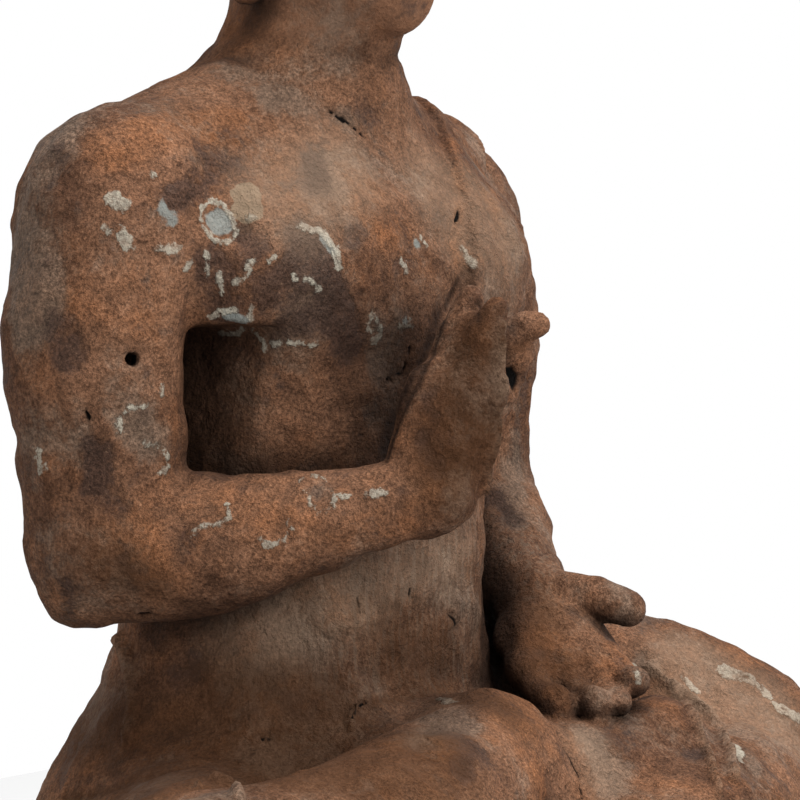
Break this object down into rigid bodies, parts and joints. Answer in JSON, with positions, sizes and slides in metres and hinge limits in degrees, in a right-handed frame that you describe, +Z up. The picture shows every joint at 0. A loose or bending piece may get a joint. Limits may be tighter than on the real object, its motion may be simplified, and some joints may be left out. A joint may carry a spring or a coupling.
{
  "type": "bronze buddha statue",
  "caption": "Seated cross-legged bronze Buddha with one hand raised and one open on the lap, cast as one with a plain low base.",
  "frame": {"origin": "centre of the underside of the base", "axes": "+Z up, -Y the way the figure faces, +X towards the figure's left hand"},
  "size_m": [0.5034, 0.3338, 0.6218],
  "materials": {
    "bronze": "matte, corroded, rust-brown earthy patina"
  },
  "bodies": {
    "root": {"buddha_statue": "bronze"}
  },
  "joints": []
}
